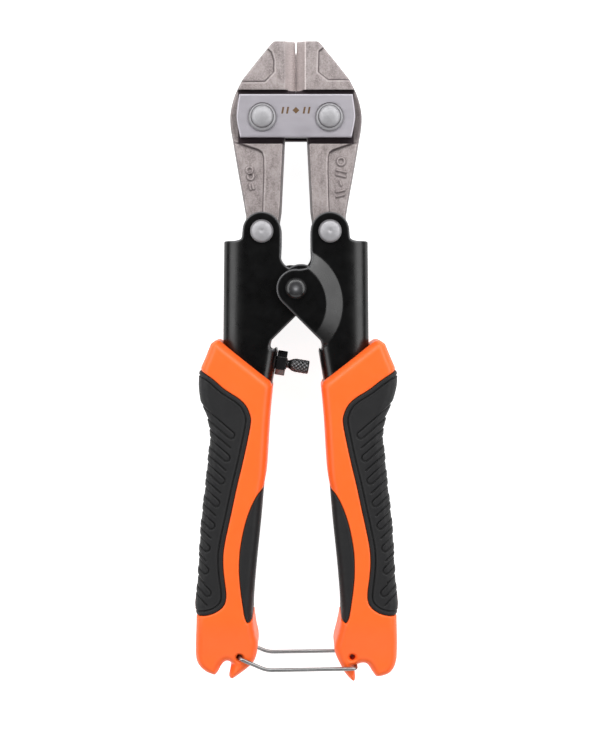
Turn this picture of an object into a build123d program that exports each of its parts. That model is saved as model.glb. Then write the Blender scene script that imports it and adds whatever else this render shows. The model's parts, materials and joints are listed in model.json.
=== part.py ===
"""Eight-inch mini bolt cutters with a linked pair of centre-cut jaws.

The tool lies on its back: X runs across it, Y towards the blade tips, Z up through its thickness.
The origin is below the middle of the outline, at the height of the surface that it lies on.
"""

from build123d import *
import math
import os

# ---- thickness, measured from the middle plane of the tool ----
mid = 11.4                  # height of the middle plane
jaw_half = 4.8              # jaws are 9.6 thick
pocket_half = 4.0           # forged pockets in the jaws
recess_half = 3.4           # milled floor under the link plates
plate_in, plate_out = 3.5, 6.3
frame_in, frame_out = 5.0, 7.2
ear_in, ear_out = 7.3, 9.5  # the ear that steps over the other frame
grip_half = 11.4
end_half = 9.9              # grips are thinner where the latch lies

# ---- pivots ----
centre = (0.0, 23.4)
handle_pivot = (10.7, 41.4)
jaw_pivot = (10.5, 77.0)
latch_pivot = (-17.6, -93.4)
cord_hole = (17.9, -93.3)

# ---- rivets, bush and spring ----
jaw_rivet_r, jaw_head_r, jaw_head_h = 2.5, 4.45, 2.3
handle_rivet_r, handle_head_r, handle_head_h = 2.2, 3.65, 2.0
centre_rivet_r, centre_head_r, centre_head_h = 2.2, 3.35, 1.9
head_rim = 0.45             # straight side of a rivet head
swage_gap = 0.02            # rivet in the sheet that it is closed on
running_gap = 0.05          # rivet in a hole that turns on it
loose_gap = 0.15            # right jaw on its rivet, which takes up the linkage's play
bush_r = 3.2
coil_r, coil_wire_r, coil_pitch, coil_turns = 4.1, 0.6, 1.4, 4

# ---- jaws ----
tip_y = 101.45
edge_gap = 0.12             # each cutting edge stands this far from the middle
bevel_w = 3.15
draft = 10.0                # forging draft, degrees
leg_end_r = 5.3
edge_land = 0.1             # half of the flat along the cutting edge
blade_low = 74.0            # the bevel's lower end
blade_spare = 1.5           # metal that the bevel is ground from

# ---- link plates ----
plate_low, plate_high, plate_half_len = 70.6, 84.1, 18.5
recess_low, recess_high = 68.95, 85.5

# ---- handle frames ----
ear_r = 6.1
flat_ear_shift = 1.6
lobe_r = 6.1
shoulder_y = 38.0
web_x_top, web_x_low = 22.8, 23.4
web_bend_r = 4.2
sheet = frame_out - frame_in
ramp_centre = (-3.9, 18.5)
ramp_top_r, ramp_foot_r, ramp_clear_r = 13.3, 18.7, 15.4
head_low = -14.0
tang_low = -79.0
tab_top_y, tab_low_y = 4.7, -4.8

# ---- stop screw ----
screw_tilt = 9.5            # degrees below the X axis
screw_start = (-6.35, -0.04)
nut_flats, nut_t = 7.0, 3.2
screw_r, screw_neck_r, screw_head_r = 1.98, 1.5, 2.2

# ---- latch wire ----
wire_r = 0.625
latch_half = 10.7
latch_points = [latch_pivot, (-9.3, -97.0), (18.95, -96.5)]


def z_plane(height):
    """A horizontal plane at a height above the middle plane."""
    return Plane.XY.offset(mid + height)


def slab(low, high, mode=Mode.ADD):
    """Raises the sketch drawn at the lower of two heights up to the higher one."""
    extrude(amount=high - low, mode=mode)


def domed_rivet(point, shaft_r, head_r, head_h, grip):
    """A rivet with a low domed head at each end; grip is half the stack that it holds."""
    crown = grip + head_h
    profile = Plane(origin=(point[0], point[1], mid), x_dir=(1, 0, 0), z_dir=(0, -1, 0))
    with BuildPart() as rivet:
        with BuildSketch(profile):
            with BuildLine():
                Line((0, -crown), (0, crown))
                TangentArc((0, crown), (head_r, grip + head_rim), tangent=(1, 0))
                Polyline((head_r, grip + head_rim), (head_r, grip), (shaft_r, grip), (shaft_r, -grip),
                         (head_r, -grip), (head_r, -grip - head_rim))
                TangentArc((0, -crown), (head_r, -grip - head_rim), tangent=(1, 0))
            make_face()
        revolve(axis=Axis((point[0], point[1], 0), (0, 0, 1)))
    return rivet


# ------------------------------------------------------------------ jaws
def make_jaw():
    """The right jaw: a drafted forging with a ground edge, pockets and the link plates' recess."""
    px, py = handle_pivot
    with BuildPart() as jaw:
        with BuildSketch(z_plane(0)):
            with BuildLine():
                Line((-blade_spare, 84.0), (1.5, 77.4))
                ThreePointArc((1.5, 77.4), (2.85, 73.4), (3.4, 69.0))
                Polyline((3.4, 69.0), (4.4, 47.0), (px - leg_end_r, py))
                ThreePointArc((px - leg_end_r, py), (px, py - leg_end_r), (16.0, py))
                Polyline((16.0, py), (16.0, 46.0), (20.1, 69.4))
                ThreePointArc((20.1, 69.4), (20.9, 77.0), (17.2, 89.3))
                Polyline((17.2, 89.3), (8.2, 100.6), (6.6, tip_y), (-blade_spare, tip_y),
                         (-blade_spare, 84.0))
            make_face()
        extrude(amount=jaw_half, taper=draft)
        # the blade's ground edge and bevel, running down behind the plates
        with BuildSketch(Plane.XZ.offset(-tip_y - 1)):
            with BuildLine():
                Polyline((-2 * blade_spare, mid), (edge_gap, mid), (edge_gap, mid + edge_land),
                         (bevel_w, mid + jaw_half + edge_land), (-2 * blade_spare, mid + jaw_half + edge_land),
                         (-2 * blade_spare, mid))
            make_face()
        extrude(amount=tip_y + 1 - blade_low, mode=Mode.SUBTRACT)
        with BuildSketch(z_plane(pocket_half)):
            with BuildLine():   # corner pocket beside the blade
                Polyline((7.0, 96.7), (7.0, 91.2), (9.9, 88.4), (24, 88.4), (24, 104), (13.2, 104),
                         (7.0, 96.7))
            make_face()
            with BuildLine():   # long pocket outside the leg's rib
                Polyline((22, 70.4), (11.4, 66.7), (10.1, 64.6), (10.4, 47.0), (22, 47.0), (22, 70.4))
            make_face()
        slab(pocket_half, jaw_half + 1, Mode.SUBTRACT)
        with BuildSketch(z_plane(recess_half)):
            with Locations((12, (recess_low + recess_high) / 2)):
                Rectangle(30, recess_high - recess_low)
        slab(recess_half, jaw_half + 1, Mode.SUBTRACT)
        mirror(about=z_plane(0))
        with BuildSketch(z_plane(-jaw_half)):
            with Locations(handle_pivot):
                Circle(handle_rivet_r + running_gap)
            with Locations(jaw_pivot):
                Circle(jaw_rivet_r + loose_gap)
        slab(-jaw_half, jaw_half, Mode.SUBTRACT)
    return jaw


right_jaw = make_jaw()
with BuildPart() as left_jaw:
    add(right_jaw.part.mirror(Plane.YZ))
    with BuildSketch(z_plane(-recess_half)):      # closed back to a running fit on this side
        with Locations((-jaw_pivot[0], jaw_pivot[1])):
            Circle(jaw_rivet_r + 1)
            Circle(jaw_rivet_r + running_gap, mode=Mode.SUBTRACT)
    slab(-recess_half, recess_half)


# ------------------------------------------------------------------ link plates
def make_link_plate(low, high):
    """A flat plate with slightly bowed ends and two rivet holes."""
    with BuildPart() as plate:
        with BuildSketch(z_plane(low)):
            with BuildLine():
                Polyline((-plate_half_len + 0.9, plate_high), (plate_half_len - 0.9, plate_high))
                ThreePointArc((plate_half_len - 0.9, plate_high), (plate_half_len, jaw_pivot[1]),
                              (plate_half_len - 1.2, plate_low))
                Polyline((plate_half_len - 1.2, plate_low), (-plate_half_len + 1.2, plate_low))
                ThreePointArc((-plate_half_len + 1.2, plate_low), (-plate_half_len, jaw_pivot[1]),
                              (-plate_half_len + 0.9, plate_high))
            make_face()
            with Locations(jaw_pivot, (-jaw_pivot[0], jaw_pivot[1])):
                Circle(jaw_rivet_r + swage_gap, mode=Mode.SUBTRACT)
        slab(low, high)
        chamfer(plate.faces().sort_by(Axis.Z)[-1 if low > 0 else 0].outer_wire().edges(), 0.35)
    return plate


front_link_plate = make_link_plate(plate_in, plate_out)
rear_link_plate = make_link_plate(-plate_out, -plate_in)

# ------------------------------------------------------------------ rivets
right_jaw_rivet = domed_rivet(jaw_pivot, jaw_rivet_r, jaw_head_r, jaw_head_h, plate_out)
left_jaw_rivet = domed_rivet((-jaw_pivot[0], jaw_pivot[1]), jaw_rivet_r, jaw_head_r, jaw_head_h, plate_out)
right_handle_rivet = domed_rivet(handle_pivot, handle_rivet_r, handle_head_r, handle_head_h, frame_out)
left_handle_rivet = domed_rivet((-handle_pivot[0], handle_pivot[1]), handle_rivet_r, handle_head_r,
                                handle_head_h, frame_out)
centre_pivot_rivet = domed_rivet(centre, centre_rivet_r, centre_head_r, centre_head_h, ear_out)

with BuildPart() as pivot_bush:
    bush_half = frame_in - 0.1
    with BuildSketch(z_plane(-bush_half)):
        with Locations(centre):
            Circle(bush_r)
            Circle(centre_rivet_r + running_gap, mode=Mode.SUBTRACT)
    slab(-bush_half, bush_half)


# ------------------------------------------------------------------ torsion spring
def tangent_angle(target, turn):
    """Angle on the coil where a straight leg to the target leaves it; turn is the leg's way round."""
    dx, dy = target[0] - centre[0], target[1] - centre[1]
    return math.atan2(dy, dx) + turn * math.acos(coil_r / math.hypot(dx, dy))


leg_reach = 20.1
leg_ends = ((leg_reach, 12.0), (-leg_reach, 12.0))
start_angle = tangent_angle(leg_ends[0], 1)
end_angle = tangent_angle(leg_ends[1], -1) + 2 * math.pi * (coil_turns + 1)
coil_height = coil_pitch * (end_angle - start_angle) / (2 * math.pi)
coil_base = Plane(origin=(centre[0], centre[1], mid - coil_height / 2),
                  x_dir=(math.cos(start_angle), math.sin(start_angle), 0), z_dir=(0, 0, 1))


def coil_point(angle, height):
    return Vector(centre[0] + coil_r * math.cos(angle), centre[1] + coil_r * math.sin(angle), mid + height)


with BuildPart() as handle_spring:
    with BuildLine(coil_base):
        coil_path = Helix(pitch=coil_pitch, height=coil_height, radius=coil_r)
    with BuildSketch(Plane(origin=coil_path @ 0, z_dir=coil_path % 0)):
        Circle(coil_wire_r)
    sweep(path=coil_path, is_frenet=True)
    for angle, height, end in ((start_angle, -coil_height / 2, leg_ends[0]),
                               (end_angle, coil_height / 2, leg_ends[1])):
        root = coil_point(angle, height)
        tip = Vector(end[0], end[1], mid + height)
        with BuildSketch(Plane(origin=root, z_dir=tip - root)):
            Circle(coil_wire_r)
        extrude(amount=(tip - root).length)


# ------------------------------------------------------------------ handle frames
def frame_outline(ear_centre, tab_x, shoulder=(4.9, 35.0), neck=54.0):
    """One flange of the right-hand channel, seen from the front; tab_x is the tab's upper corner."""
    ex, ey = ear_centre
    px, py = handle_pivot
    half = ear_r * math.sqrt(0.5)
    vee = ex + ey - 2 * half            # x + y along the edge that runs down from the ear
    vee_x = 7.7
    neck_point = (ex + ear_r * math.cos(math.radians(neck)), ey + ear_r * math.sin(math.radians(neck)))
    bend = ((neck_point[0] + shoulder[0]) / 2 + 0.45, (neck_point[1] + shoulder[1]) / 2 - 0.35)
    tab_slope = math.tan(math.radians(screw_tilt))
    tab_low_x = tab_x + (tab_top_y - tab_low_y) * tab_slope
    with BuildSketch() as outline:
        with BuildLine():
            Line((vee_x, vee - vee_x), (ex - half, ey - half))
            ThreePointArc((ex - half, ey - half), (ex - ear_r * 0.5, ey + ear_r * math.sqrt(0.75)),
                          neck_point)
            ThreePointArc(neck_point, bend, shoulder)
            Line(shoulder, (px - lobe_r, py))
            ThreePointArc((px - lobe_r, py), (px, py + lobe_r), (px + lobe_r, py))
            ThreePointArc((px + lobe_r, py), (px + lobe_r + 0.75, py - 2.65),
                          (px + lobe_r + 3.0, shoulder_y))
            Polyline((px + lobe_r + 3.0, shoulder_y), (web_x_top, shoulder_y), (web_x_low, head_low),
                     (11.6, head_low), (tab_low_x + 1.0, tab_low_y - 1.6), (tab_low_x, tab_low_y),
                     (tab_x, tab_top_y), (vee_x + 0.9, tab_top_y + 0.3),
                     (vee_x + 0.4, vee - vee_x - 1.0), (vee_x, vee - vee_x))
        make_face()
    return outline.sketch


def tang_outline(inset_web=0.0, inset_rest=0.0):
    """The straight part of the channel that the grip is moulded on."""
    with BuildSketch() as outline:
        with BuildLine():
            Polyline((12.4 - inset_rest, head_low + inset_rest),
                     (web_x_low - inset_web, head_low + inset_rest),
                     (28.4 - inset_web, tang_low + inset_web),
                     (17.4 - inset_rest, tang_low + inset_web),
                     (12.4 - inset_rest, head_low + inset_rest))
        make_face()
    return outline.sketch


def bend_cut(start, end, radius):
    """What a rounded bend takes off both long corners of a channel's wall, and the wall's length.

    The wall's outside is to the right of the way from start to end."""
    way = Vector(end[0] - start[0], end[1] - start[1], 0)
    outward = Vector(way.Y, -way.X, 0)
    section = Plane(origin=(start[0], start[1], mid), x_dir=outward, z_dir=way)
    with BuildSketch(section) as corners:
        for rise in (1, -1):
            low, high = rise * (frame_out - radius), rise * frame_out
            slant = radius * (1 - math.sqrt(0.5))
            with BuildLine():
                ThreePointArc((0, low), (-slant, high - rise * slant), (-radius, high))
                Polyline((-radius, high), (-radius, high + rise), (1, high + rise), (1, low), (0, low))
            make_face()
    return corners.sketch, way.length


def make_handle_frame(tab_x):
    """The right-hand channel: flat ear behind, and an ear in front that steps over its twin."""
    flat_ear = (centre[0] - flat_ear_shift, centre[1] + flat_ear_shift)
    tab_low_x = tab_x + (tab_top_y - tab_low_y) * math.tan(math.radians(screw_tilt))
    with BuildPart() as frame:
        with BuildSketch(z_plane(-frame_out)):
            add(frame_outline(flat_ear, tab_x))
        slab(-frame_out, 0)
        with BuildSketch(z_plane(0)):
            add(frame_outline(centre, tab_x, neck=62.0))
        slab(0, frame_out)
        for start, end in (((web_x_low, head_low), (web_x_top, shoulder_y)),
                           ((tab_x, tab_top_y), (tab_low_x, tab_low_y))):
            rounding, length = bend_cut(start, end, web_bend_r)
            extrude(rounding, amount=length, mode=Mode.SUBTRACT)
        # the hollow between the flanges, closed by the web and the tab
        with BuildSketch(z_plane(-frame_in)):
            with BuildLine():
                Polyline((-20, 60), (30, 60), (30, shoulder_y + 0.01), (web_x_top - sheet, shoulder_y + 0.01),
                         (web_x_low - sheet, head_low - 1), (12.4, head_low - 1), (tab_low_x + sheet, -8.0),
                         (tab_low_x + sheet, tab_low_y - 2), (tab_x + sheet, tab_top_y),
                         (tab_x - 3, tab_top_y), (-20, tab_top_y), (-20, 60))
            make_face()
        slab(-frame_in, frame_in, Mode.SUBTRACT)
        # the stepped ear
        with BuildSketch(z_plane(frame_out)):
            add(frame_outline(centre, tab_x, neck=62.0))
        slab(frame_out, ear_out)
        ramp = Cone(ramp_foot_r, ramp_top_r, ear_out - frame_out,
                    align=(Align.CENTER, Align.CENTER, Align.MIN), mode=Mode.PRIVATE)
        ramp = Pos(ramp_centre[0], ramp_centre[1], mid + frame_out) * ramp
        above = Pos(0, 20, mid + (frame_out + ear_out) / 2) * Box(
            120, 120, ear_out - frame_out, mode=Mode.PRIVATE)
        add(above - ramp, mode=Mode.SUBTRACT)
        with BuildSketch(z_plane(0)):
            with Locations(ramp_centre):
                Circle(ramp_clear_r)
            with Locations((ramp_centre[0] - 20, ramp_centre[1])):
                Rectangle(30, 80)
        slab(0, ear_in, Mode.SUBTRACT)
        # tang
        with BuildSketch(z_plane(-frame_out)):
            add(tang_outline())
        slab(-frame_out, frame_out)
        with BuildSketch(z_plane(-frame_in)):
            add(tang_outline(inset_web=sheet, inset_rest=1.0))
        slab(-frame_in, frame_in, Mode.SUBTRACT)
        with BuildSketch(z_plane(-ear_out - 1)):
            with Locations(centre):
                Circle(centre_rivet_r + running_gap)
            with Locations(handle_pivot):
                Circle(handle_rivet_r + swage_gap)
        slab(-ear_out - 1, ear_out + 1, Mode.SUBTRACT)
    return frame


tab_right, tab_left = 7.0, 5.6
right_handle_frame = make_handle_frame(tab_right)

screw_plane = Plane(origin=(screw_start[0], screw_start[1], mid),
                    x_dir=(0, 0, 1),
                    z_dir=(math.cos(math.radians(screw_tilt)), -math.sin(math.radians(screw_tilt)), 0))

left_blank = make_handle_frame(tab_left)
with BuildPart() as left_handle_frame:      # the same channel turned over
    add(left_blank.part.rotate(Axis((0, 0, mid), (0, 1, 0)), 180))
    with BuildSketch(screw_plane.offset(-8)):
        Circle(screw_r + running_gap)
    extrude(amount=9, mode=Mode.SUBTRACT)

# ------------------------------------------------------------------ stop screw and lock nut
with BuildPart() as stop_lock_nut:
    with BuildSketch(screw_plane.offset(0.05)):
        RegularPolygon(nut_flats / 2, 6, major_radius=False, rotation=30)
        Circle(screw_r + running_gap, mode=Mode.SUBTRACT)
    extrude(amount=nut_t)

with BuildPart() as stop_screw:
    with BuildSketch(screw_plane.offset(-6)):
        Circle(screw_r)
    extrude(amount=6 + nut_t + 0.2)
    with BuildSketch(screw_plane.offset(nut_t + 0.1)):
        Circle(screw_neck_r)
    extrude(amount=1.6)
    with BuildSketch(screw_plane.offset(nut_t + 1.5)):
        Circle(screw_neck_r)
    with BuildSketch(screw_plane.offset(nut_t + 3.4)):
        Circle(screw_head_r)
    loft()
    with BuildSketch(screw_plane.offset(nut_t + 3.4)):
        Circle(screw_head_r)
    extrude(amount=4.0)
    chamfer(stop_screw.faces().sort_by(Axis.X)[-1].edges(), 0.4)


# ------------------------------------------------------------------ grips
def grip_outline(side):
    """The whole grip seen from the front; side is 1 on the right and -1 on the left."""
    def at(*points):
        return [(side * x, y) for x, y in points]

    if side > 0:    # a wide notch that the latch wire drops into
        low = [(32.2, -91.0), (31.4, -97.4), (26.6, -100.4), (24.6, -99.4), (21.6, -95.7), (18.1, -96.0),
               (18.1, -97.3), (18.8, -98.4), (18.8, -101.1), (18.0, -101.45), (14.2, -96.4), (12.1, -91.0)]
    else:           # the end that carries the latch wire
        low = [(31.9, -91.0), (30.9, -97.0), (26.5, -100.3), (25.2, -99.2), (22.2, -95.4), (20.4, -95.8),
               (20.9, -98.0), (21.3, -100.3), (20.6, -101.3), (19.6, -101.0), (14.4, -96.6), (12.0, -91.0)]
    with BuildSketch() as outline:
        with BuildLine():
            Polyline(*at((8.2, -5.5), (23.4, 6.4), (25.4, 7.3), (27.6, 6.0)))
            Spline(*at((27.6, 6.0), (31.2, -5.0), (30.0, -14.0), (27.8, -22.5), (29.0, -37.0),
                       (30.9, -54.0), (31.9, -68.0), (32.6, -79.0), low[0]))
            ThreePointArc(*at(low[0], low[1], low[2]))
            Polyline(*at(low[2], low[3]))
            ThreePointArc(*at(low[3], low[4], low[5]))
            Polyline(*at(*low[5:11]))
            ThreePointArc(*at(low[10], (12.6, -93.6), low[11]))
            Spline(*at(low[11], (13.3, -84.0), (13.7, -78.0), (12.8, -66.0), (11.2, -50.0),
                       (9.6, -34.0), (8.3, -18.0), (7.3, -7.2)))
            Polyline(*at((7.3, -7.2), (8.2, -5.5)))
        make_face()
    return outline.sketch


def outer_pad_outline(side):
    """The region of the ribbed pad, running out past the grip's outer edge."""
    edge = [(30.2, -0.9), (22.6, -7.9), (15.7, -13.2), (14.1, -18.3), (18.2, -37.5), (22.6, -57.8),
            (22.7, -66.3), (22.0, -73.6), (25.6, -78.2), (32.0, -80.0)]
    with BuildSketch() as outline:
        with BuildLine():
            Spline(*[(side * x, y) for x, y in edge])
            Polyline((side * 32.0, -80.0), (side * 38, -80.5), (side * 38, 1), (side * 30.2, -0.9))
        make_face()
    return outline.sketch


def inner_pad_outline(side):
    """The region of the inlay, running out past the grip's inner edge."""
    edge = [(9.6, -39.0), (14.1, -45.6), (16.9, -54.5), (17.9, -65.5), (16.2, -77.0), (12.6, -81.6)]
    with BuildSketch() as outline:
        with BuildLine():
            Spline(*[(side * x, y) for x, y in edge])
            Polyline((side * 12.6, -81.6), (side * 4, -81.6), (side * 4, -39.0), (side * 9.6, -39.0))
        make_face()
    return outline.sketch


def make_grip_shell(side):
    """The grip's outer form with thinned ends, before the pads and the tang's socket are cut."""
    with BuildPart() as shell:
        with BuildSketch(z_plane(-grip_half)):
            add(grip_outline(side))
        slab(-grip_half, grip_half)
        for rise in (1, -1):
            with BuildSketch(Plane.YZ.offset(-40)):
                with BuildLine():
                    Polyline((-84, mid + rise * (grip_half + 0.01)), (-89, mid + rise * end_half),
                             (-110, mid + rise * end_half), (-110, mid + rise * (grip_half + 2)),
                             (-84, mid + rise * (grip_half + 2)), (-84, mid + rise * (grip_half + 0.01)))
                make_face()
            extrude(amount=80, mode=Mode.SUBTRACT)
    return shell


pad_t = 2.2                 # thickness of the rubber over the moulding
socket_gap = 0.05


def make_core(side):
    """The part of the moulding that stays under the rubber."""
    with BuildPart() as core:
        with BuildSketch(z_plane(-grip_half + pad_t)):
            with BuildLine():
                Polyline((side * 10.2, 0), (side * 26.8, 0), (side * 26.8, -10), (side * 25.2, -22),
                         (side * 30.0, -80), (side * 30.0, -90), (side * 16.2, -90), (side * 15.4, -75),
                         (side * 10.6, -20), (side * 10.2, 0))
            make_face()
        slab(-grip_half + pad_t, grip_half - pad_t)
    return core


def make_socket(side):
    """The room that the frame takes up inside the grip."""
    tab_x = tab_right if side > 0 else tab_left
    with BuildPart() as socket:
        with BuildSketch(z_plane(-frame_out - socket_gap)):
            with BuildLine():
                Polyline((side * tab_x, -4.0), (side * tab_x, 12), (side * (web_x_low + socket_gap), 12),
                         (side * (web_x_low + socket_gap), head_low - socket_gap),
                         (side * (28.4 + socket_gap), tang_low - socket_gap),
                         (side * (17.4 - socket_gap), tang_low - socket_gap),
                         (side * (12.4 - socket_gap), head_low - 1), (side * 11.2, head_low - 1),
                         (side * (tab_x + 2.0), tab_low_y - 2.2), (side * tab_x, -4.0))
            make_face()
        slab(-frame_out - socket_gap, frame_out + socket_gap)
    return socket


def make_grip(side):
    """The moulding and its two rubber pads on one side."""
    shell, core, socket = make_grip_shell(side), make_core(side), make_socket(side)
    pads = []
    for outline in (outer_pad_outline, inner_pad_outline):
        with BuildPart() as pad:
            with BuildSketch(z_plane(-grip_half - 1)):
                add(outline(side))
            slab(-grip_half - 1, grip_half + 1)
            add(shell.part, mode=Mode.INTERSECT)
            add(core.part, mode=Mode.SUBTRACT)
        pads.append(pad)
    hole = latch_pivot if side < 0 else cord_hole
    hole_r = wire_r + 0.1 if side < 0 else 1.0
    with BuildPart() as body:
        add(shell.part)
        for pad in pads:
            add(pad.part, mode=Mode.SUBTRACT)
        add(socket.part, mode=Mode.SUBTRACT)
        with BuildSketch(z_plane(-grip_half - 1)):
            with Locations(hole):
                Circle(hole_r)
        slab(-grip_half - 1, grip_half + 1, Mode.SUBTRACT)
        if side < 0:    # funnels that the wire's bends turn in
            for rise in (1, -1):
                with BuildSketch(z_plane(rise * (end_half - 1.6))):
                    with Locations(hole):
                        Circle(hole_r)
                with BuildSketch(z_plane(rise * (end_half + 0.01))):
                    with Locations(hole):
                        Circle(2.4)
                loft(mode=Mode.SUBTRACT)
    return body, pads[0], pads[1]


right_grip_body, right_outer_grip_pad, right_inner_grip_pad = make_grip(1)
left_grip_body, left_outer_grip_pad, left_inner_grip_pad = make_grip(-1)

# ------------------------------------------------------------------ latch
with BuildPart() as latch_bail:
    hole_end, knee, corner = latch_points
    with BuildLine():
        latch_path = FilletPolyline(
            (hole_end[0], hole_end[1], mid - 0.1), (hole_end[0], hole_end[1], mid - latch_half),
            (knee[0], knee[1], mid - latch_half), (corner[0], corner[1], mid - latch_half),
            (corner[0], corner[1], mid + latch_half), (knee[0], knee[1], mid + latch_half),
            (hole_end[0], hole_end[1], mid + latch_half), (hole_end[0], hole_end[1], mid + 0.1),
            radius=1.3)
    with BuildSketch(Plane(origin=latch_path @ 0, z_dir=latch_path % 0)):
        Circle(wire_r)
    sweep(path=latch_path)

# ------------------------------------------------------------------ files
pieces = {
    "left_jaw": left_jaw,
    "right_jaw": right_jaw,
    "front_link_plate": front_link_plate,
    "rear_link_plate": rear_link_plate,
    "left_jaw_rivet": left_jaw_rivet,
    "right_jaw_rivet": right_jaw_rivet,
    "left_handle_rivet": left_handle_rivet,
    "right_handle_rivet": right_handle_rivet,
    "centre_pivot_rivet": centre_pivot_rivet,
    "pivot_bush": pivot_bush,
    "handle_spring": handle_spring,
    "left_handle_frame": left_handle_frame,
    "right_handle_frame": right_handle_frame,
    "stop_lock_nut": stop_lock_nut,
    "stop_screw": stop_screw,
    "left_grip_body": left_grip_body,
    "right_grip_body": right_grip_body,
    "left_outer_grip_pad": left_outer_grip_pad,
    "right_outer_grip_pad": right_outer_grip_pad,
    "left_inner_grip_pad": left_inner_grip_pad,
    "right_inner_grip_pad": right_inner_grip_pad,
    "latch_bail": latch_bail,
}

os.makedirs("parts", exist_ok=True)
for name, piece in pieces.items():
    piece.part.label = name
    export_step(piece.part, f"parts/{name}.step")
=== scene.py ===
import json
import math

import bpy
import numpy as np
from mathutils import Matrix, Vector


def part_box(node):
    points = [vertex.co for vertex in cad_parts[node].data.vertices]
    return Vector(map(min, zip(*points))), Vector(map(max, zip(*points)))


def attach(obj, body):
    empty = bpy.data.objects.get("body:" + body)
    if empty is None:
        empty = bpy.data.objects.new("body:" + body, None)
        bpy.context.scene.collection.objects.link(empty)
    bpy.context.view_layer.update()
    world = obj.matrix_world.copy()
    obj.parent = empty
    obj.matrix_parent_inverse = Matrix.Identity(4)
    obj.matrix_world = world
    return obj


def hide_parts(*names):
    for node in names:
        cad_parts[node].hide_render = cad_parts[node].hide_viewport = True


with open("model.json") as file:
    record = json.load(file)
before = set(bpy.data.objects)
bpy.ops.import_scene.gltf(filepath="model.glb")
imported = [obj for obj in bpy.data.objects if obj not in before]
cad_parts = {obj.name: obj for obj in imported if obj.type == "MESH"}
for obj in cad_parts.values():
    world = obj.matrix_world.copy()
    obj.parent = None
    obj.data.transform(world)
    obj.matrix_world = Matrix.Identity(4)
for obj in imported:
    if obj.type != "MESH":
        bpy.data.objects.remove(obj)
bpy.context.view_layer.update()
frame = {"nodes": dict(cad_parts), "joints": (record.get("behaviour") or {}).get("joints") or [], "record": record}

# The looks of the bolt cutters. Shapes are worked out in millimetres as distance fields on a grid of
# points, turned into meshes, and written in metres. "Across" is the distance from the middle of the
# tool, so both sides share one recipe.

MM = 0.001


def middle_of(node):
    low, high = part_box(node)
    return tuple(round(c / MM, 3) for c in (low + high) / 2)


def half_height(node):
    low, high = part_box(node)
    return (high.z - low.z) / 2 / MM


JOINTS = {j["name"]: j for j in frame["joints"]}
MOUNTS = {m["name"]: m for m in frame["record"]["mounts"]}
MID = middle_of("right_jaw")[2]
CENTRE = middle_of("centre_pivot_rivet")[:2]
HANDLE_PIVOT = middle_of("right_handle_rivet")[:2]
JAW_PIVOT = middle_of("right_jaw_rivet")[:2]
LATCH_PIVOT = [c / MM for c in JOINTS["latch_swing"]["pos_m"][:2]]
CORD_HOLE = [c / MM for c in MOUNTS["cord_hole"]["pos_m"][:2]]
GRIP_HALF = half_height("right_grip_body")
JAW_HALF = half_height("right_jaw")
TIP_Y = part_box("right_jaw")[1].y / MM
PLATE_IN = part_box("front_link_plate")[0].z / MM - MID
PLATE_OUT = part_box("front_link_plate")[1].z / MM - MID
PLATE_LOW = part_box("front_link_plate")[0].y / MM
PLATE_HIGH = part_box("front_link_plate")[1].y / MM
SCREW_AXIS = JOINTS["stop_screw_turn"]["axis"]
SCREW_START = [c / MM for c in JOINTS["stop_screw_turn"]["pos_m"][:2]]


# ---------------------------------------- distance fields
class Grid:
    """A block of sample points between two corners, in millimetres."""

    def __init__(self, low, high, step):
        self.low, self.step = np.array(low, float), step
        axes = [a + step * np.arange(int(math.ceil((b - a) / step)) + 1) for a, b in zip(low, high)]
        self.x = axes[0].astype(np.float32)[:, None, None]
        self.y = axes[1].astype(np.float32)[None, :, None]
        self.z = axes[2].astype(np.float32)[None, None, :]


class Points:
    """Loose points that the plan distances can be taken at, like a grid's."""

    def __init__(self, points):
        self.x, self.y, self.z = points.T


def inside_outline(g, points):
    """Plan distance to a closed outline, negative inside it."""
    x, y = g.x, g.y
    nearest = np.full((x.shape[0], y.shape[1], 1), 1e9, np.float32)
    inside = np.zeros(nearest.shape, bool)
    for (ax, ay), (bx, by) in zip(points, points[1:] + points[:1]):
        ex, ey = bx - ax, by - ay
        run = ex * ex + ey * ey
        if run < 1e-9:
            continue
        t = np.clip(((x - ax) * ex + (y - ay) * ey) / run, 0, 1)
        nearest = np.minimum(nearest, (x - ax - ex * t) ** 2 + (y - ay - ey * t) ** 2)
        if ey:
            inside ^= ((ay <= y) != (by <= y)) & (x < ax + (y - ay) * ex / ey)
    return np.where(inside, -1, 1) * np.sqrt(nearest)


def to_segment(g, a, b):
    """Plan distance to a straight stroke from a to b."""
    ex, ey = b[0] - a[0], b[1] - a[1]
    t = np.clip(((g.x - a[0]) * ex + (g.y - a[1]) * ey) / max(ex * ex + ey * ey, 1e-9), 0, 1)
    return np.hypot(g.x - a[0] - ex * t, g.y - a[1] - ey * t)


def both(a, b, r=0.0):
    """Where two solids overlap, with the edge between them rounded."""
    if not r:
        return np.maximum(a, b)
    u, v = a + r, b + r
    return np.minimum(np.maximum(u, v), 0) + np.hypot(np.maximum(u, 0), np.maximum(v, 0)) - r


def either(a, b, r=0.0):
    """Two solids joined, with a fillet between them."""
    return -both(-a, -b, r)


def less(a, b, r=0.0):
    """The first solid with the second cut out of it."""
    return both(a, -b, r)


def ease(v):
    """0 below 0, 1 above 1, and smooth between."""
    v = np.clip(v, 0, 1)
    return v * v * (3 - 2 * v)


def slope_of(height, step):
    """How much longer a distance measured straight up is than one measured across a sloping top."""
    dx, dy = np.gradient(height[:, :, 0], step)
    return np.sqrt(1 + dx * dx + dy * dy)[:, :, None]


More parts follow.
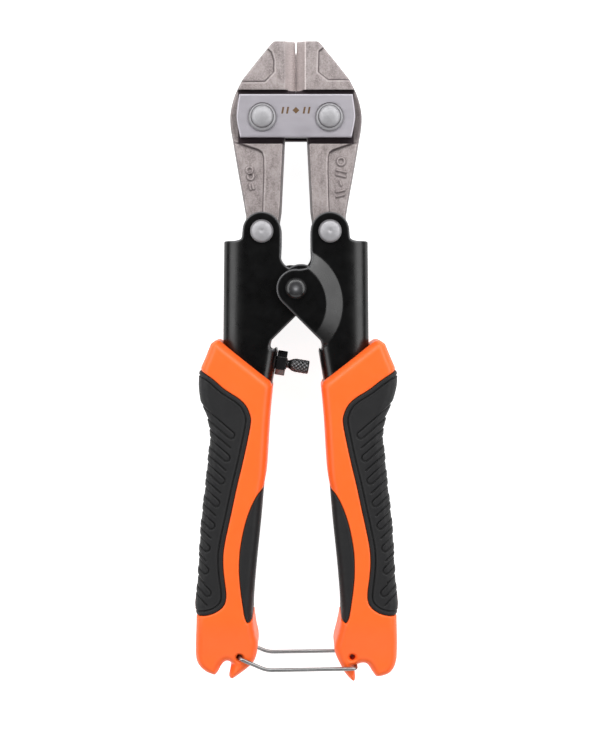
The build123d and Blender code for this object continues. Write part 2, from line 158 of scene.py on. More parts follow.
def sample(field, where):
    """The field and its gradient at points given in grid steps."""
    top = np.array(field.shape) - 2
    base = np.clip(np.floor(where).astype(int), 0, top)
    f = where - base
    c = [[[field[base[:, 0] + i, base[:, 1] + j, base[:, 2] + k] for k in (0, 1)] for j in (0, 1)]
         for i in (0, 1)]
    w = [(1 - f[:, n], f[:, n]) for n in range(3)]
    value = sum(c[i][j][k] * w[0][i] * w[1][j] * w[2][k] for i in (0, 1) for j in (0, 1) for k in (0, 1))
    slope = [sum((c[1][j][k] - c[0][j][k]) * w[1][j] * w[2][k] for j in (0, 1) for k in (0, 1)),
             sum((c[i][1][k] - c[i][0][k]) * w[0][i] * w[2][k] for i in (0, 1) for k in (0, 1)),
             sum((c[i][j][1] - c[i][j][0]) * w[0][i] * w[1][j] for i in (0, 1) for j in (0, 1))]
    return value, np.stack(slope, 1)


def plan_at(g, plan, points):
    """A plan field's value at points in millimetres."""
    u = (points[:, :2] - g.low[:2]) / g.step
    base = np.clip(np.floor(u).astype(int), 0, np.array(plan.shape[:2]) - 2)
    (i, j), (a, b) = base.T, (u - base).T
    p = plan[:, :, 0]
    return (p[i, j] * (1 - a) * (1 - b) + p[i + 1, j] * a * (1 - b) + p[i, j + 1] * (1 - a) * b
            + p[i + 1, j + 1] * a * b)


def line_on(value, width):
    """A soft line where the value is zero."""
    return np.exp(-(value / width) ** 2)


def skin(g, field):
    """Vertices, in millimetres, and faces of the surface where the field is zero."""
    field = np.broadcast_to(field, (g.x.shape[0], g.y.shape[1], g.z.shape[2])).astype(np.float32)
    solid = field < 0
    shape = np.array(field.shape) - 1
    corners = [(i, j, k) for i in (0, 1) for j in (0, 1) for k in (0, 1)]

    def part(a, c):
        return a[c[0]:c[0] + shape[0], c[1]:c[1] + shape[1], c[2]:c[2] + shape[2]]

    filled = sum(part(solid, c).astype(np.int8) for c in corners)
    active = (filled > 0) & (filled < 8)
    number = np.full(shape, -1, np.int32)
    cells = np.argwhere(active)
    number[active] = np.arange(len(cells))
    total, crossed = np.zeros((len(cells), 3)), np.zeros(len(cells))
    for c in corners:
        for axis in range(3):
            if c[axis]:
                continue
            d = tuple(c[n] + (n == axis) for n in range(3))
            a = field[tuple((cells + c).T)]
            b = field[tuple((cells + d).T)]
            cut = (a < 0) != (b < 0)
            t = np.where(cut, a / np.where(cut, a - b, 1), 0)
            place = np.array(c, float)[None] + np.eye(3)[axis][None] * t[:, None]
            total += np.where(cut[:, None], place, 0)
            crossed += cut
    points = cells + total / crossed[:, None]
    faces = []
    for axis in range(3):
        a, b = [n for n in range(3) if n != axis]
        low = [slice(None)] * 3
        high = [slice(None)] * 3
        low[axis], high[axis] = slice(0, -1), slice(1, None)
        change = solid[tuple(low)].astype(np.int8) - solid[tuple(high)].astype(np.int8)
        for sign in (1, -1):
            edges = np.argwhere(change == sign)
            keep = (edges[:, a] > 0) & (edges[:, b] > 0) & (edges[:, a] < shape[a]) & (edges[:, b] < shape[b])
            edges = edges[keep]
            loop = []
            for da, db in ((1, 1), (0, 1), (0, 0), (1, 0)):
                cell = edges.copy()
                cell[:, a] -= da
                cell[:, b] -= db
                loop.append(number[tuple(cell.T)])
            loop = np.stack(loop, 1)
            if (sign > 0) == (axis == 1):
                loop = loop[:, ::-1]
            faces.append(loop)
    faces = np.concatenate(faces)
    for _ in range(3):      # even the points out, then put them back on the surface
        points = 0.5 * points + 0.5 * neighbour_mean(points, faces)
        for _ in range(2):
            value, slope = sample(field, points)
            points -= slope * (value / np.maximum((slope ** 2).sum(1), 1e-6))[:, None].clip(-0.7, 0.7)
    return points * g.step + g.low, faces


def neighbour_mean(points, faces):
    total, count = np.zeros_like(points), np.zeros(len(points))
    for n in range(4):
        a, b = faces[:, n], faces[:, (n + 1) % 4]
        for p, q in ((a, b), (b, a)):
            count += np.bincount(p, minlength=len(points))
            for axis in range(3):
                total[:, axis] += np.bincount(p, points[q, axis], minlength=len(points))
    return total / count[:, None]


# ---------------------------------------- outlines
def curve(points, steps=8):
    """A smooth line through the points, as short straights."""
    p = [np.array(q, float) for q in points]
    p = [2 * p[0] - p[1]] + p + [2 * p[-1] - p[-2]]
    line = []
    for a, b, c, d in zip(p, p[1:], p[2:], p[3:]):
        for n in range(steps):
            t = n / steps
            line.append(tuple(0.5 * (2 * b + (c - a) * t + (2 * a - 5 * b + 4 * c - d) * t ** 2
                                     + (3 * b - a - 3 * c + d) * t ** 3)))
    return line + [tuple(p[-2])]


def arc(centre, radius, start, end, steps=16):
    """Points round a circle between two angles in degrees."""
    turns = np.radians(np.linspace(start, end, steps + 1))
    return [(centre[0] + radius * math.cos(t), centre[1] + radius * math.sin(t)) for t in turns]


# ---------------------------------------- meshes
def mesh_piece(name, vertices, faces, body, nodes, paint, slot):
    """A smooth-shaded mesh, in millimetres, that stands for CAD nodes and moves with their body."""
    mesh = bpy.data.meshes.new(name)
    vertices = np.asarray(vertices, float) * MM
    mesh.from_pydata(vertices.tolist(), [], faces.tolist() if hasattr(faces, "tolist") else faces)
    mesh.polygons.foreach_set("use_smooth", [True] * len(mesh.polygons))
    mesh.materials.append(paint)
    mesh.update()
    piece = bpy.data.objects.new(name, mesh)
    bpy.context.scene.collection.objects.link(piece)
    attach(piece, body)
    if nodes:
        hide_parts(*nodes)
    return piece


def lay(piece, name, values):
    """A value for each vertex, for the piece's material to read."""
    layer = piece.data.attributes.new(name, "FLOAT", "POINT")
    layer.data.foreach_set("value", np.asarray(values, np.float32))


def steepness(piece):
    """0 where a surface faces up or down, 1 where it is upright."""
    normals = np.empty(len(piece.data.vertices) * 3, np.float32)
    piece.data.vertices.foreach_get("normal", normals)
    return 1 - np.abs(normals.reshape(-1, 3)[:, 2])


def mirrored(vertices, faces):
    return vertices * np.array([-1, 1, 1]), faces[:, ::-1]


def turned_over(vertices, faces):
    """Half a turn about the tool's long middle line."""
    return vertices * np.array([-1, 1, -1]) + np.array([0, 0, 2 * MID]), faces


def lathe(profile, centre, steps=96, wave=None):
    """A turned shape about an upright axis. profile is (radius, height) pairs, from pole to pole."""
    vertices, faces = [], []
    for radius, height in profile:
        for n in range(steps):
            t = 2 * math.pi * n / steps
            r = radius + (wave(t, height) if wave else 0)
            vertices.append((centre[0] + r * math.cos(t), centre[1] + r * math.sin(t), height))
    for ring in range(len(profile) - 1):
        for n in range(steps):
            m = (n + 1) % steps
            a = ring * steps
            faces.append((a + n, a + m, a + steps + m, a + steps + n))
    faces.append(tuple(range(steps))[::-1])
    faces.append(tuple(range((len(profile) - 1) * steps, len(profile) * steps)))
    return np.array(vertices), faces


# ---------------------------------------- materials
def tint(colour):
    return (*colour, 1.0)


class Paint:
    """A material built around one Principled shader, in the piece's own coordinates."""

    def __init__(self, name, colour, roughness, metallic=0.0, **sockets):
        self.material = bpy.data.materials.new(name)
        self.material.use_nodes = True
        self.nodes, self.links = self.material.node_tree.nodes, self.material.node_tree.links
        self.shader = self.nodes["Principled BSDF"]
        self.shader.inputs["Base Color"].default_value = tint(colour)
        self.shader.inputs["Roughness"].default_value = roughness
        self.shader.inputs["Metallic"].default_value = metallic
        for socket, value in sockets.items():
            self.shader.inputs[socket.replace("_", " ")].default_value = value
        self.place = self.nodes.new("ShaderNodeTexCoord").outputs["Object"]
        self.normal = None

    def noise(self, size_mm, stretch=(1, 1, 1), detail=4.0, rough=0.6, turn=0.0):
        """Noise whose largest features are about size_mm wide, drawn out by stretch."""
        mapping = self.nodes.new("ShaderNodeMapping")
        mapping.inputs["Rotation"].default_value = (0, 0, turn)
        mapping.inputs["Scale"].default_value = [1 / (size_mm * MM * s) for s in stretch]
        texture = self.nodes.new("ShaderNodeTexNoise")
        texture.inputs["Scale"].default_value = 1.0
        texture.inputs["Detail"].default_value = detail
        texture.inputs["Roughness"].default_value = rough
        self.links.new(self.place, mapping.inputs["Vector"])
        self.links.new(mapping.outputs["Vector"], texture.inputs["Vector"])
        return texture.outputs["Fac"]

    def spread(self, value, low, high, start=0.3, end=0.7):
        """A value from start to end, spread over low to high."""
        node = self.nodes.new("ShaderNodeMapRange")
        for socket, number in zip(("From Min", "From Max", "To Min", "To Max"), (start, end, low, high)):
            node.inputs[socket].default_value = number
        self.links.new(value, node.inputs["Value"])
        return node.outputs["Result"]

    def mix(self, factor, a, b):
        """Two colours mixed by a factor; either may be a socket."""
        node = self.nodes.new("ShaderNodeMix")
        node.data_type = "RGBA"
        self.links.new(factor, node.inputs["Factor"])
        for socket, colour in ((node.inputs[6], a), (node.inputs[7], b)):
            if hasattr(colour, "is_output"):
                self.links.new(colour, socket)
            else:
                socket.default_value = tint(colour)
        return node.outputs[2]

    def colour(self, socket):
        self.links.new(socket, self.shader.inputs["Base Color"])

    def roughness(self, socket):
        self.links.new(socket, self.shader.inputs["Roughness"])

    def bump(self, value, depth_mm, strength=1.0):
        node = self.nodes.new("ShaderNodeBump")
        node.inputs["Distance"].default_value = depth_mm * MM
        node.inputs["Strength"].default_value = strength
        self.links.new(value, node.inputs["Height"])
        if self.normal:
            self.links.new(self.normal, node.inputs["Normal"])
        self.normal = node.outputs["Normal"]
        self.links.new(self.normal, self.shader.inputs["Normal"])

    def attribute(self, name):
        node = self.nodes.new("ShaderNodeAttribute")
        node.attribute_name = name
        return node.outputs["Fac"]


def make_paints():
    paints = {}

    orange = Paint("orange_moulding", (1.0, 0.13, 0.012), 0.42, Specular_IOR_Level=0.4)
    orange.colour(orange.mix(orange.noise(9), (0.95, 0.122, 0.014), (0.97, 0.143, 0.02)))
    orange.roughness(orange.spread(orange.noise(1.6), 0.38, 0.5))
    orange.bump(orange.noise(0.35, detail=2), 0.012, 0.5)
    paints["grip_moulding"] = orange

    rubber = Paint("dark_rubber", (0.02, 0.02, 0.021), 0.6, Specular_IOR_Level=0.3)
    plain = rubber.mix(rubber.noise(6), (0.0085, 0.0085, 0.0092), (0.014, 0.014, 0.0148))
    # the near black mixed in is painted shade, laid in the pad's grooves
    rubber.colour(rubber.mix(rubber.attribute("painted_shade"), plain, (0.001, 0.001, 0.001)))
    rubber.roughness(rubber.spread(rubber.noise(1.1), 0.5, 0.68))
    rubber.bump(rubber.noise(0.3, detail=3), 0.03, 0.5)
    paints["grip_rubber"] = rubber

    enamel = Paint("black_enamel", (0.003, 0.003, 0.0033), 0.2, Specular_IOR_Level=0.4)
    # the lighter mix is a painted highlight, laid along the flanges' cut edges
    enamel.colour(enamel.mix(enamel.attribute("rim"), (0.001, 0.001, 0.0011), (0.11, 0.11, 0.115)))
    enamel.roughness(enamel.spread(enamel.noise(3.5, detail=5), 0.25, 0.33))
    enamel.bump(enamel.noise(2.4, detail=1), 0.012, 0.3)
    enamel.bump(enamel.noise(0.35, detail=2), 0.003, 0.3)
    paints["frame_paint"] = enamel

    forged = Paint("forged_steel", (0.3, 0.26, 0.26), 0.5, 0.6)
    blotches = forged.spread(forged.noise(2.2, (1, 2.4, 1), 8, 0.75), 0, 1, 0.36, 0.62)
    mottle_and_knurl_highlight = forged.mix(blotches, (0.17, 0.14, 0.138), (0.37, 0.325, 0.32))
    grit = forged.spread(forged.noise(0.5, detail=4, rough=0.85), 0, 1, 0.42, 0.7)
    grain = forged.mix(grit, mottle_and_knurl_highlight, (0.43, 0.385, 0.38))
    streaks = forged.spread(forged.noise(0.5, (6, 0.5, 1), 4, 0.6, math.radians(-48)), 0, 1)
    fresh = forged.mix(streaks, (0.47, 0.415, 0.41), (0.73, 0.66, 0.65))
    # the lighter mix is the freshly ground bevel, with painted highlight lines along the bevel's ridge and the
    # pockets' rims
    ground = forged.mix(forged.attribute("ground"), grain, fresh)
    # the dark mix is painted shade: on the jaws' upright sides, along pocket and mark edges, and in the plates'
    # recess
    forged.colour(forged.mix(forged.attribute("painted_shade"), ground, (0.03, 0.02, 0.024)))
    forged.roughness(forged.spread(forged.noise(1.2, detail=6), 0.44, 0.6))
    forged.bump(forged.noise(0.45, detail=5, rough=0.75), 0.09, 0.6)
    forged.bump(forged.noise(5, (1, 1.5, 1), 3), 0.15, 0.5)
    paints["forged_steel"] = forged

    plate = Paint("ground_plate", (0.42, 0.4, 0.43), 0.46, 0.7)
    satin = plate.mix(plate.noise(4, (3, 1, 1), 6), (0.37, 0.35, 0.385), (0.46, 0.44, 0.475))
    # the dark mix is painted shade, on the plates' inner faces, edges and holes
    plate.colour(plate.mix(plate.attribute("painted_shade"), satin, (0.03, 0.02, 0.024)))
    plate.roughness(plate.spread(plate.noise(1.5, (4, 1, 1), 5), 0.42, 0.52))
    plate.bump(plate.noise(0.22, (14, 1, 1), 4), 0.012, 0.4)
    paints["plate_steel"] = plate

    bright = Paint("bright_rivet", (0.6, 0.6, 0.62), 0.5, 0.5)
    polish = bright.mix(bright.noise(1.3, detail=7, rough=0.7), (0.25, 0.246, 0.257), (0.43, 0.424, 0.44))
    # the dark mix is painted shade, on the skirt's upper side and in the fine groove
    bright.colour(bright.mix(bright.attribute("painted_shade"), polish, (0.04, 0.035, 0.04)))
    bright.roughness(bright.spread(bright.noise(0.7, detail=5), 0.46, 0.62))
    bright.bump(bright.noise(0.6, detail=6), 0.05, 0.6)
    paints["rivet_steel"] = bright

    oxide = Paint("black_oxide", (0.006, 0.006, 0.0065), 0.27, 0.2, Specular_IOR_Level=0.5)
    skin_tone = oxide.mix(oxide.noise(1.2, detail=6), (0.006, 0.006, 0.006), (0.016, 0.016, 0.017))
    # the lighter mix is a painted highlight: a glint on the centre rivet's head and light lines on the screw's
    # knurl
    oxide.colour(oxide.mix(oxide.attribute("rim"), skin_tone, (0.22, 0.22, 0.23)))
    oxide.roughness(oxide.spread(oxide.noise(0.8, detail=4), 0.16, 0.28))
    oxide.bump(oxide.noise(0.3, detail=4), 0.015, 0.5)
    paints["black_hardware"] = oxide

    wire = Paint("plated_wire", (0.72, 0.72, 0.72), 0.22, 1.0)
    wire.colour(wire.mix(wire.noise(1.0, detail=6), (0.25, 0.25, 0.25), (0.4, 0.4, 0.4)))
    wire.roughness(wire.spread(wire.noise(0.5, detail=4), 0.28, 0.42))
    wire.bump(wire.noise(0.5, detail=3), 0.01, 0.4)
    paints["latch_wire"] = wire

    coil = Paint("spring_steel", (0.3, 0.3, 0.31), 0.35, 0.9)
    coil.roughness(coil.spread(coil.noise(0.6, detail=4), 0.28, 0.45))
    coil.bump(coil.noise(0.25, detail=4), 0.01, 0.5)
    paints["spring_steel"] = coil

    bronze = Paint("etched_mark", (0.13, 0.075, 0.035), 0.5, 0.3)
    bronze.roughness(bronze.spread(bronze.noise(0.3, detail=4), 0.4, 0.6))
    bronze.bump(bronze.noise(0.2, detail=3), 0.008, 0.5)
    paints["mark"] = bronze
    return {name: paint.material for name, paint in paints.items()}


PAINTS = make_paints()


# ---------------------------------------- grips
GRIP_STEP, PAD_STEP, INLAY_STEP = 0.34, 0.21, 0.25
GRIP_EDGE, PAD_CROWN = (2.8, 3.6), (3.2, 3.8)       # elliptical edges, across by down
PAD_T = 2.2             # how deep the rubber lies in the moulding
SEAM = 0.12             # between the rubber and the moulding
FIT = 0.08              # between the moulding and the frame in it
SOCKET_LOW = -18.0      # how far the frame's socket goes down
BAR_COUNT = 8           # the pad's raised bars, from the top
BAR_TOP, BAR_PITCH, BAR_HALF, BAR_RUN = -21.3, 7.12, 1.1, 24
BORDER_IN, BORDER_WIDTH = 1.6, 0.21     # the groove round the pad's border
GROOVE_WIDTH, GROOVE_DEPTH = 0.2, 0.45
END_DROP = GRIP_HALF - 9.9      # the grips' ends are thinner where the latch wire lies

# The folded frames, which the grips' sockets follow
WEB_X, WEB_LEAN = 22.75, 0.0115
SHEET_IN, SHEET_OUT = 5.0, 7.2
SHOULDER_Y = 38.4
FOLD = (7.5, 4.2)       # the web's elliptical corner, across by down
TAB_FOLD = 4.2          # the tab's round corner
TAB_X = {1: 7.0, -1: 5.6}       # where each frame's folded tab starts, at its top
TAB_TOP = 4.7
TAB_SLOPE = abs(SCREW_AXIS[1] / SCREW_AXIS[0])

COLLAR = [(8.2, -5.6), (23.3, 6.2), (24.6, 7.1), (25.7, 7.25), (27.4, 6.1), (29.0, 2.2), (30.5, -1.2)]
FLANK = [(30.5, -1.2), (31.05, -7.2), (30.0, -13.2), (28.5, -16.6), (27.5, -20.7), (27.5, -24.5),
         (28.2, -31), (28.9, -38), (30.4, -51), (31.4, -66), (31.9, -74), (31.95, -81)]
PAD_FLANK = [(30.9, -1.8), (31.45, -4), (31.4, -8), (30.35, -13.2), (28.9, -16.6), (27.9, -20.7),
             (27.9, -24.5), (28.6, -31), (29.3, -38), (30.8, -51), (31.75, -66), (32.4, -74),
             (32.62, -76.5), (32.2, -79.0), (31.3, -81)]
INNER_EDGE = [(13.0, -86.2), (13.6, -82), (13.8, -78), (12.8, -65.7), (11.3, -51.3), (10.3, -40),
              (9.4, -34), (8.4, -18.2), (7.4, -7.2)]
ENDS = {
    1: curve([(31.95, -81), (32.2, -90), (31.9, -95.3), (30.2, -98.6), (27.3, -99.9), (25.5, -100.0)], 5)
    + curve([(25.3, -99.8), (24.2, -98.2), (22.9, -96.2), (21.4, -95.6), (19.5, -96.1), (18.1, -96.7)], 4)
    + curve([(18.2, -97.0), (18.8, -98.9), (18.85, -101.0), (18.0, -101.4), (15.7, -99), (14.15, -96.2),
             (12.8, -93.3), (12.2, -90.6), (13.0, -86.2)], 5),
    -1: curve([(31.95, -81), (31.95, -89.8), (31.8, -94.0), (30.8, -96.5), (28.6, -98.5), (25.9, -99.6)], 5)
    + curve([(25.6, -99.4), (24.7, -98.2), (23.9, -96.6), (22.8, -95.3), (21.5, -95.0), (20.3, -95.9)], 4)
    + curve([(20.4, -96.2), (20.95, -97.8), (21.35, -99.8), (20.6, -100.7), (19.6, -100.4), (15.3, -97.2),
             (13.4, -95.2), (12.4, -92.2), (12.3, -89.2), (13.0, -86.2)], 5),
}
PAD_EDGE = [(30.7, -2.1), (26.2, -5.1), (22.6, -7.9), (17.9, -10.9), (15.6, -13.2), (14.35, -16.0),
            (14.1, -18.6), (15.1, -24.1), (16.7, -31.4), (18.3, -38), (20.3, -47.2), (22.3, -56.2),
            (22.95, -61), (22.75, -66.3), (22.0, -72.2), (22.2, -75.1), (23.4, -77.1), (25.8, -78.7),
            (28.9, -79.6), (32.2, -79.9)]
PAD_SIDE = PAD_EDGE[6:15]       # the stretch of the pad's edge along the bars
INLAY_EDGE = [(9.9, -38.8), (12.1, -41.3), (14.1, -45.1), (15.8, -49.9), (16.9, -54.6), (17.7, -59.8),
              (17.9, -65.5), (17.5, -71.2), (16.8, -76.4), (16.3, -79.6), (15.75, -81.3), (15.3, -82.0),
              (14.5, -81.7), (13.2, -80.2)]


def nudged(points, side):
    """Moves an outline a little sideways, because the two grips aren't quite mirror images."""
    moved = []
    for x, y in points:
        outer, high, low = ease((x - 20) / 9), ease((y + 14) / 10), ease((y + 92) / 12)
        across = 0.6 - 0.6 * outer * (1 - high) if side > 0 else -(0.4 + 0.35 * high) * outer
        moved.append((x + across * low, y))
    return moved


def crowned(plan, rise, width, depth):
    """A slab's plan and height fields joined by an elliptical edge, width across by depth down."""
    u, v = plan / width + 1, rise / depth + 1
    edge = np.minimum(np.maximum(u, v), 0) + np.hypot(np.maximum(u, 0), np.maximum(v, 0)) - 1
    return edge * min(width, depth)


def shell_field(g, side):
    """The whole grip without its joints, and how far each point is above the front and back faces."""
    rise = np.abs(g.z - MID) - GRIP_HALF + END_DROP * ease((-81.0 - g.y) / 15.0)
    outline = COLLAR + curve(FLANK, 4) + ENDS[side] + curve(INNER_EDGE, 4)
    return crowned(inside_outline(g, nudged(outline, side)), rise, *GRIP_EDGE), rise


def pad_region(g, side):
    return inside_outline(g, nudged(curve(PAD_EDGE, 5), side) + [(40, -80.0), (40, -2.0)])


def inlay_region(g, side):
    return inside_outline(g, nudged(curve(INLAY_EDGE, 5), side) + [(2, -80.0), (2, -38.8)])


def bar_lines(g):
    """Distances to the raised bars' outlines and to the single grooves between them."""
    bars, creases = [], []
    for n in range(BAR_COUNT):
        y = BAR_TOP - BAR_PITCH * n
        slant = math.radians(41 + 0.9 * n)
        edge_x = np.interp(-y, [-p[1] for p in PAD_SIDE], [p[0] for p in PAD_SIDE])
        end = (edge_x + 5.7, y - 1.2)
        way = (BAR_RUN * math.cos(slant), BAR_RUN * math.sin(slant))
        bars.append(to_segment(g, end, (end[0] + way[0], end[1] + way[1])) - BAR_HALF)
        lower = (end[0] + 0.2, end[1] - 4.0)
        creases.append(to_segment(g, lower, (lower[0] + way[0], lower[1] + way[1])))
    return bars, creases


def pad_field(side):
    """The outer pad: a border groove and slanted round-ended bars that wrap round the side."""
    g = Grid((13.4, -81.4, MID - GRIP_HALF - 0.4), (33.0, -0.6, MID + GRIP_HALF + 0.4), PAD_STEP)
    shell, rise = shell_field(g, side)
    flank_line = [(29.2, 12)] + nudged(curve(PAD_FLANK, 4), side)
    flank = inside_outline(g, flank_line + [(31.6, -100), (-20, -100), (-20, 12)])
    region = pad_region(g, side)
    bars, creases = bar_lines(g)
    inner = ease((-region - 1.9) / 0.5)
    groove = line_on(region + BORDER_IN, BORDER_WIDTH)
    relief = -0.12 * inner
    for bar, crease in zip(bars, creases):
        relief = relief - 0.2 * ease(-bar / 0.4 + 0.3) * inner
        lines = np.maximum(line_on(bar, GROOVE_WIDTH), line_on(crease, GROOVE_WIDTH))
        groove = np.maximum(groove, inner * lines)
    top = crowned(flank + 0.36, rise + 0.4, *PAD_CROWN) + GROOVE_DEPTH * groove - relief - 0.3
    pad = both(both(top, region + SEAM, 0.4), -(shell + PAD_T))
    return g, pad, groove


def inlay_field(side):
    """The inner pad, flush with the moulding round it."""
    g = Grid((9.2, -84.6, MID - GRIP_HALF - 0.4), (18.8, -38.0, MID + GRIP_HALF + 0.4), INLAY_STEP)
    shell, _ = shell_field(g, side)
    return g, both(both(shell + 0.03, inlay_region(g, side) + SEAM, 0.35), -(shell + PAD_T))


def moulding_field(side):
    """The moulding: the grip's shell less the pads' pockets, the frame's socket and a hole at its end."""
    g = Grid((5.6, -102.6, MID - GRIP_HALF - 0.6), (33.4, 8.6, MID + GRIP_HALF + 0.6), GRIP_STEP)
    shell, rise = shell_field(g, side)
    pockets = both(np.minimum(pad_region(g, side), inlay_region(g, side)), -(shell + PAD_T + SEAM))
    body = less(shell, pockets, 0.3)
    tab = (TAB_X[side] + (TAB_TOP - g.y) * TAB_SLOPE - FIT - g.x) / math.hypot(1, TAB_SLOPE)
    web = g.x - WEB_X - (SHOULDER_Y - g.y) * WEB_LEAN - FIT
    high = np.abs(g.z - MID) - SHEET_OUT - FIT
    socket = both(both(crowned(web, high, *FOLD), both(tab, high, TAB_FOLD)), SOCKET_LOW - g.y)
    body = less(body, socket, 0.25)
    hole = (LATCH_PIVOT[0] - 0.3, LATCH_PIVOT[1] + 0.05) if side < 0 else CORD_HOLE
    wide = 1.0 if side < 0 else 0.95
    funnel = np.hypot(g.x - abs(hole[0]), g.y - hole[1]) - wide - 0.6 * ease(rise + 1.0)
    return g, less(body, funnel, 0.2)


def make_grips():
    for side, word, body in ((1, "right", "right_handle"), (-1, "left", "left_handle")):
        flip = mirrored if side < 0 else (lambda vertices, faces: (vertices, faces))
        g, field = moulding_field(side)
        mesh_piece(f"{word}_grip_body_look", *flip(*skin(g, field)), body, [f"{word}_grip_body"],
                   PAINTS["grip_moulding"], "grip_moulding")
        g, field = inlay_field(side)
        piece = mesh_piece(f"{word}_inner_grip_pad_look", *flip(*skin(g, field)), body,
                           [f"{word}_inner_grip_pad"], PAINTS["grip_rubber"], "grip_rubber")
        lay(piece, "painted_shade", np.zeros(len(piece.data.vertices)))
        g, field, groove = pad_field(side)
        vertices, faces = skin(g, field)
        piece = mesh_piece(f"{word}_outer_grip_pad_look", *flip(vertices, faces), body,
                           [f"{word}_outer_grip_pad"], PAINTS["grip_rubber"], "grip_rubber")
        # painted shade along the outer pad's border groove and bar grooves
        lay(piece, "painted_shade", 0.95 * plan_at(g, groove, vertices))


# ---------------------------------------- jaws
JAW_STEP = 0.2
BEVEL_W = {1: 2.75, -1: 3.4}        # how far back each edge is ground
BLADE_LAND = 0.45
RECESS_LOW, RECESS_HIGH, RECESS_HALF = 68.95, 85.5, 3.4     # where the plates lie
DRAFT = math.radians(9)
JAW_HOLE, HANDLE_HOLE, PLATE_HOLE = 2.65, 2.25, 2.55        # the rivets' holes
CORNER_DEPTH, LEG_DEPTH, MARK_HEIGHT = 0.75, 0.8, 0.5
JAW_OUTLINE = ([(-2, 84), (1.5, 78.5)] + curve([(1.5, 78.5), (2.9, 74.4), (3.4, 69.0)], 4)
               + [(4.45, 47.5), (5.4, 41.4)] + arc(HANDLE_PIVOT, 5.3, 180, 360, 24) + [(16.0, 46.3)]
               + curve([(16.7, 50.5), (18.5, 60.5), (20.1, 69.9), (20.85, 74.5), (20.85, 79), (19.5, 84.4),
                        (17.1, 89.4)], 5)
               + [(12.95, 94.6), (7.9, 100.75), (7.2, 101.3), (6.5, TIP_Y - 0.03), (-2, TIP_Y - 0.03)])


def stroke_marks(side):
    """Raised forging marks in the leg's pocket: rings and strokes, as centre lines in plan."""
    marks = []
    if side < 0:
        marks += [("ring", (14.6, 60.6), 0.95), ("ring", (14.25, 58.6), 0.95)]
        marks += [("line", (13.7, 56.2), (13.35, 54.8)), ("line", (14.6, 56.0), (14.25, 54.6))]
    else:
        marks += [("ring", (14.2, 63.3), 1.15)]
        marks += [("line", (12.9, 60.6), (15.6, 60.0)), ("line", (12.85, 59.2), (15.4, 58.6))]
        marks += [("line", (13.9, 57.0), (14.2, 56.0))]
        marks += [("line", (15.3, 54.4), (12.9, 53.8)), ("line", (15.15, 52.9), (12.9, 52.3))]
    return marks


def corner_pocket(g, side):
    """The sunk outer corner of a blade, by its plan distance."""
    if side > 0:
        inner = [(8.85, 98.9), (7.25, 97.5), (7.1, 91.2), (10.1, 88.85), (19, 88.8)]
    else:
        inner = [(9.3, 98.7), (7.7, 97.3), (6.95, 94.8), (6.95, 91.2), (9.8, 88.3), (19, 88.2)]
    return inside_outline(g, inner + [(24, 104), (12, 104)])


def leg_pocket(g):
    """The sunk outer side of a leg, by its plan distance."""
    return inside_outline(g, [(24, 71.0), (19.8, 69.6), (11.6, 66.8), (10.6, 66.0), (10.15, 64.6), (10.1, 60),
                              (10.5, 47.0), (10.5, 36.0), (24, 36.0)])


def jaw_field(side):
    """A drafted forging with a ground bevel, pockets and the plates' recess."""
    g = Grid((-0.8, 35.4, MID - JAW_HALF - 0.5), (21.6, 102.2, MID + JAW_HALF + 0.5), JAW_STEP)
    plan = inside_outline(g, JAW_OUTLINE)
    half = np.abs(g.z - MID)
    height = np.full(plan.shape, JAW_HALF, np.float32)
    height = height - CORNER_DEPTH * ease(-corner_pocket(g, side) / 0.55 + 0.5)
    height = height - LEG_DEPTH * ease(-leg_pocket(g) / 0.5 + 0.5)
    for kind, a, b in stroke_marks(side):
        far = np.abs(np.hypot(g.x - a[0], g.y - a[1]) - b) if kind == "ring" else to_segment(g, a, b)
        height = height + MARK_HEIGHT * ease(1.25 - far / 0.42)
    ground = BLADE_LAND + (g.x - 0.1) * ((JAW_HALF - BLADE_LAND) / BEVEL_W[side])
    height = np.minimum(height, np.where(g.y > RECESS_HIGH, np.maximum(ground, -1), 99))
    soft = 0.22 + 1.4 * ease((g.x - 17.9) / 0.9)
    milled = ease((g.y - RECESS_LOW) / soft + 0.5) * ease((RECESS_HIGH - g.y) / soft + 0.5)
    height = height * (1 - milled) + RECESS_HALF * milled
    drafted = (plan + DRAFT * np.maximum(half, 0.7)) * math.cos(DRAFT)
    jaw = both(drafted, (half - height) / slope_of(height, JAW_STEP), 0.32)
    # the two edges meet, apart from a slit that opens at the tip
    jaw = both(jaw, 0.012 + 0.24 * ease((g.y - 97.0) / 1.4) - g.x)
    for (px, py), r in ((JAW_PIVOT, JAW_HOLE), (HANDLE_PIVOT, HANDLE_HOLE)):
        jaw = less(jaw, np.hypot(g.x - px, g.y - py) - r)
    return g, jaw


